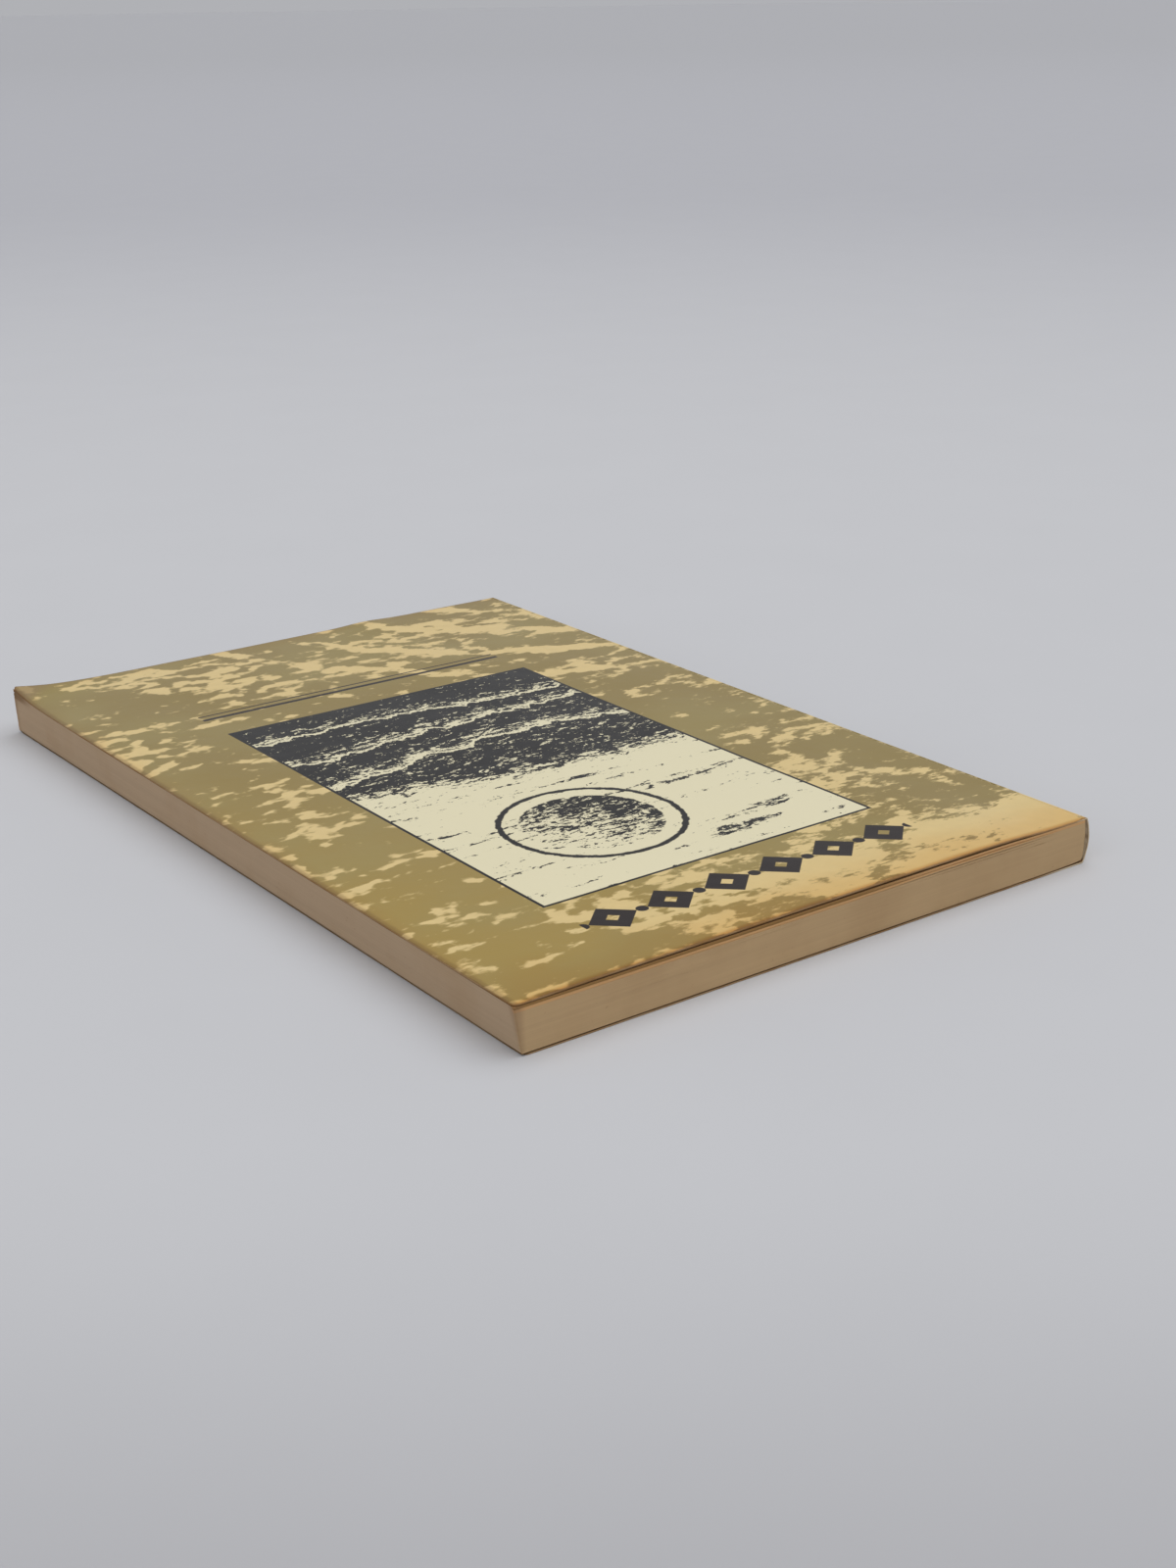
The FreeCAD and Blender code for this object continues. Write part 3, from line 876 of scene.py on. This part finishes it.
# The block. Each leaf has two rims, and a groove parts it from the next.
LEAF_SPANS = (139, 216)     # roughly a leaf's width and height, which only space its grid lines
FORE_READINGS = (90.0, 1.0, 8.0)    # how far each side of the middle, and how high, the fore-edge is read
BLUNTED = 0.1               # how far each leaf's corners are worn in
RIM_SHARES = (0.1, 0.9)
GROOVE = 0.04               # usual depth of a groove between two leaves
RISING_LEAVES = 34          # leaves that rise at the dog-eared corner, the top one most
LOOSE_LEAVES = (0.6, 0.58, 0.56, 0.54, 0.24, 0.22, 0.2, 0.18)    # share of the cover's bow that each follows
SLITS = (                   # leaf below it, middle across, half length, opening: small gaps at the head
    (61, -56.0, 3.4, 0.15),
    (67, -40.0, 18.0, 0.12),
    (75, -46.0, 18.0, 0.15),
    (71, -40.0, 24.0, 0.15),
    (64, 12.0, 16.0, 0.03),
    (44, 38.0, 20.0, 0.025),
)


def leaf_lift(leaf, x, y):
    """How far a leaf stands above where it would lie in a flat block."""
    flat_top = leaf_top(FRONT_FOLD, 0)
    curl = max(0.0, leaf_top(x, y) - flat_top)
    from_top = LEAF_COUNT - 1 - leaf
    lift = curl * max(0.0, 1 - from_top / RISING_LEAVES) ** 1.6
    if from_top < len(LOOSE_LEAVES):
        lift += LOOSE_LEAVES[from_top] * lift_of_cover(x, y) * smooth_step(x, -66, -58)
    if leaf < 12:
        lift += 0.5 * (1 - leaf / 12) ** 2 * math.exp(-(x - SPINE_FOOT) / 2.2)
    return lift


def groove_at(leaf, x, y):
    """Depth of the groove above a leaf, and how far its two rims are pushed apart."""
    opening = 0.0
    for below, middle, half, width in SLITS:
        if leaf == below and y > HEAD - 1:
            opening += width * max(0.0, 1 - ((x - middle) / half) ** 2)
    gap = leaf_lift(leaf + 1, x, y) - leaf_lift(leaf, x, y) + opening
    return GROOVE + min(3.0, max(0.0, gap - 0.02) * 30), opening


def leaf_offset(leaf, x, y):
    """How far a leaf's trimmed edge lies inside the block's outline."""
    group = 0.02 * (1 + ripple(leaf * 1.0, (x + y) / 8, 6.0, seed=8))
    own = 0.01 * (1 + ripple(leaf * 3.7, (x - y) / 25, 1.0, seed=9))
    lowest = 0.3 if leaf < 2 else 0.0
    return group + own + lowest


def make_text_block():
    foot, top = BLOCK_FOOT, leaf_top(FRONT_FOLD, 0)
    pitch = (top - foot) / LEAF_COUNT
    shares_x, shares_y = [np.array(lines(0, span, STEP_UP)) / span for span in LEAF_SPANS]
    low_y, high_y = corners["text_block"][0].y, corners["text_block"][1].y
    read_y, low_z, high_z = FORE_READINGS
    fore = {(y, z): block_surface.fore_edge(y, z) for y in (-read_y, read_y) for z in (low_z, high_z)}

    def fore_x(y, z):
        """The sloping, twisted plane of the fore-edge, carried on from four readings."""
        along = (y + read_y) / (2 * read_y)
        up = (z - low_z) / (high_z - low_z)
        at_foot = fore[-read_y, low_z] * (1 - along) + fore[read_y, low_z] * along
        at_top = fore[-read_y, high_z] * (1 - along) + fore[read_y, high_z] * along
        return at_foot * (1 - up) + at_top * up

    def place(i, j, base_z):
        y = low_y + shares_y[j] * (high_y - low_y)
        back = block_surface.back_edge(min(max(base_z, foot + 0.03), top - 0.03))
        return back + shares_x[i] * (fore_x(y, base_z) - back), y

    border = outline_of(len(shares_x), len(shares_y))
    last_x, last_y = len(shares_x) - 1, len(shares_y) - 1
    points = []

    def add_ring(base_z, depth_at, lift_at):
        for i, j in border:
            x, y = place(i, j, base_z)
            inset = depth_at(x, y)
            z = base_z + lift_at(x, y)
            at_corner = i in (0, last_x) and j in (0, last_y)
            inset += BLUNTED if at_corner else 0.0
            x += inset if i == 0 else -inset if i == last_x else 0.0
            y += inset if j == 0 else -inset if j == last_y else 0.0
            points.append((x, y, z))

    for leaf in range(LEAF_COUNT):
        for share in RIM_SHARES:
            base = foot + (leaf + share) * pitch
            if leaf == 0 and share == RIM_SHARES[0]:
                base = foot
            if leaf == LEAF_COUNT - 1 and share == RIM_SHARES[1]:
                base = top
            push = 0.5 if share == RIM_SHARES[0] else -0.5
            beside = leaf - 1 if share == RIM_SHARES[0] else leaf
            add_ring(
                base,
                lambda x, y: leaf_offset(leaf, x, y),
                lambda x, y: leaf_lift(leaf, x, y) + push * groove_at(beside, x, y)[1],
            )
        if leaf < LEAF_COUNT - 1:
            add_ring(
                foot + (leaf + 1) * pitch,
                lambda x, y: leaf_offset(leaf, x, y) + groove_at(leaf, x, y)[0],
                lambda x, y: (leaf_lift(leaf, x, y) + leaf_lift(leaf + 1, x, y)) / 2,
            )

    round_trip = len(border)
    rings = len(points) // round_trip
    faces = []
    for ring in range(rings - 1):
        for step in range(round_trip):
            after = (step + 1) % round_trip
            a, b = ring * round_trip + step, ring * round_trip + after
            faces.append((a, b, b + round_trip, a + round_trip))
    face_looks = [1] * len(faces)

    for leaf, first_ring, base_z, flipped in ((0, 0, foot, True), (LEAF_COUNT - 1, rings - 1, top, False)):
        number = {at: first_ring * round_trip + step for step, at in enumerate(border)}
        for i in range(1, last_x):
            for j in range(1, last_y):
                x, y = place(i, j, base_z)
                number[i, j] = len(points)
                points.append((x, y, base_z + leaf_lift(leaf, x, y)))
        for i in range(last_x):
            for j in range(last_y):
                face = (number[i, j], number[i + 1, j], number[i + 1, j + 1], number[i, j + 1])
                faces.append(face[::-1] if flipped else face)
                face_looks.append(0)

    piece = make_piece("leaf_block", points, faces, [PAGE, LEAF_EDGES], face_looks)
    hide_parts("text_block")
    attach(piece, "bound_block")


SPINE_WIDTH = spine_length()
CARD_MIDDLE = (SPINE_FOOT - SPINE_TOP - SPINE_WIDTH) / 2    # across the unfolded card, as all its places are
CARD_HALF = FORE - SPINE_TOP - CARD_MIDDLE

PRINT = cover_print()
INSIDE_CARD = inside_card_look()
CUT_CARD = cut_card_look()
PAGE = page_look()
LEAF_EDGES = leaf_edge_look()
GLUE = glue_look()
CARD_LOOKS = [PRINT, INSIDE_CARD, CUT_CARD]

make_front_cover()
make_back_cover()
make_spine()
make_glue()
make_text_block()


# The stage: a pale floor under soft light, with a pool of light and a darker front painted on it, and the
# camera where the photograph was taken.
CAMERA_PLACE = Vector((246.8, 375.1, 167.3))
CAMERA_AIM = Vector((-17.5, 8.0, 0.0))
CAMERA_ROLL = math.radians(0.915)
CAMERA_LENS = 49.09         # for a sensor 36 mm along the picture's long side
WORLD_LIGHT = 1.0
SKY_LOW = paint(200, 200, 203)
SKY_HIGH = paint(146, 146, 149)
# The floor's colours paint light and shade: a painted pool of light round the book, painted falloff further
# off, and painted shade towards the camera.
FLOOR_PAINTED_POOL_OF_LIGHT = paint(197, 198, 201)
FLOOR_FRONT_PAINTED_SHADE = paint(165, 165, 168)
FLOOR_MIDDLE_PAINTED_FALLOFF = paint(178, 179, 184)
FLOOR_FAR_PAINTED_FALLOFF = paint(173, 174, 178)
BACKDROP_COLOUR = paint(176, 177, 181)
FLOOR_RINGS = (300.0, 1500.0, 6000.0, 30000.0)


def make_floor():
    count = 96
    points = [Vector((0, 0, 0))]
    faces = []
    for ring, radius in enumerate(FLOOR_RINGS):
        first = len(points)
        for step in range(count):
            turn = 2 * math.pi * step / count
            after = (step + 1) % count
            points.append(Vector((radius * math.cos(turn), radius * math.sin(turn), 0)))
            inner = first - count
            if ring == 0:
                faces.append((0, first + step, first + after))
            else:
                faces.append((inner + step, first + step, first + after, inner + after))
    look = Look("pale_floor", roughness=0.8, specular=0.2)
    x, y, z = look.place()
    away = (x * x + y * y).root()
    sight = (CAMERA_PLACE - CAMERA_AIM).xy.normalized()
    toward_front = x * sight.x + y * sight.y
    mottle = look.noise(x / 40, y / 40, 0.0, detail=4.0)
    # Painted light: lighter round the book, darker further off, and darker towards the camera.
    colour = look.mix(away.rise(200.0, 1600.0), FLOOR_PAINTED_POOL_OF_LIGHT, FLOOR_MIDDLE_PAINTED_FALLOFF)
    colour = look.mix(away.rise(1600.0, 7000.0), colour, FLOOR_FAR_PAINTED_FALLOFF)
    colour = look.mix(toward_front.rise(150.0, 330.0), colour, FLOOR_FRONT_PAINTED_SHADE)
    finished = look.finish(look.shade(colour, mottle * 0.03 + 0.985))
    floor = make_piece("floor", points, faces, [finished], [0] * len(faces))


def make_world():
    """Even light from all round, less from high up. The camera sees a backdrop of the floor's tone."""
    world = bpy.data.worlds.new("studio")
    bpy.context.scene.world = world
    world.use_nodes = True
    tree = world.node_tree
    light = tree.nodes["Background"]
    light.inputs["Strength"].default_value = WORLD_LIGHT
    direction = tree.nodes.new("ShaderNodeTexCoord")
    parts = tree.nodes.new("ShaderNodeSeparateXYZ")
    height = tree.nodes.new("ShaderNodeMapRange")
    height.interpolation_type = "SMOOTHSTEP"
    height.inputs["From Min"].default_value = 0.2
    height.inputs["From Max"].default_value = 0.5
    tone = tree.nodes.new("ShaderNodeMix")
    tone.data_type = "RGBA"
    tone.inputs[6].default_value = SKY_LOW
    tone.inputs[7].default_value = SKY_HIGH
    backdrop = tree.nodes.new("ShaderNodeBackground")
    backdrop.inputs["Color"].default_value = BACKDROP_COLOUR
    path = tree.nodes.new("ShaderNodeLightPath")
    mix = tree.nodes.new("ShaderNodeMixShader")
    tree.links.new(direction.outputs["Generated"], parts.inputs[0])
    tree.links.new(parts.outputs["Z"], height.inputs["Value"])
    tree.links.new(height.outputs[0], tone.inputs["Factor"])
    tree.links.new(tone.outputs[2], light.inputs["Color"])
    tree.links.new(path.outputs["Is Camera Ray"], mix.inputs["Fac"])
    tree.links.new(light.outputs[0], mix.inputs[1])
    tree.links.new(backdrop.outputs[0], mix.inputs[2])
    tree.links.new(mix.outputs[0], tree.nodes["World Output"].inputs["Surface"])


def add_lamp(name, direction, spread, strength):
    """A large, distant, soft lamp that shines from a direction."""
    light = bpy.data.lights.new(name, "SUN")
    light.angle = math.radians(spread)
    light.energy = strength
    lamp = bpy.data.objects.new(name, light)
    lamp.rotation_euler = (-Vector(direction)).to_track_quat("-Z", "Y").to_euler()
    bpy.context.scene.collection.objects.link(lamp)


def add_camera():
    data = bpy.data.cameras.new("photo_camera")
    data.lens = CAMERA_LENS
    data.sensor_width = 36.0
    data.clip_start = 0.01
    camera = bpy.data.objects.new("photo_camera", data)
    sight = CAMERA_AIM - CAMERA_PLACE
    camera.location = CAMERA_PLACE * MM
    camera.rotation_mode = "QUATERNION"
    camera.rotation_quaternion = Quaternion(sight.normalized(), CAMERA_ROLL) @ sight.to_track_quat("-Z", "Y")
    bpy.context.scene.collection.objects.link(camera)
    bpy.context.scene.camera = camera


make_floor()
make_world()
add_lamp("overhead", direction=(-0.3, 0.1, 0.95), spread=75, strength=1.7)
add_lamp("front_fill", direction=(0.8, 0.35, 0.6), spread=60, strength=0.75)
add_camera()
bpy.context.scene.view_settings.view_transform = "Standard"
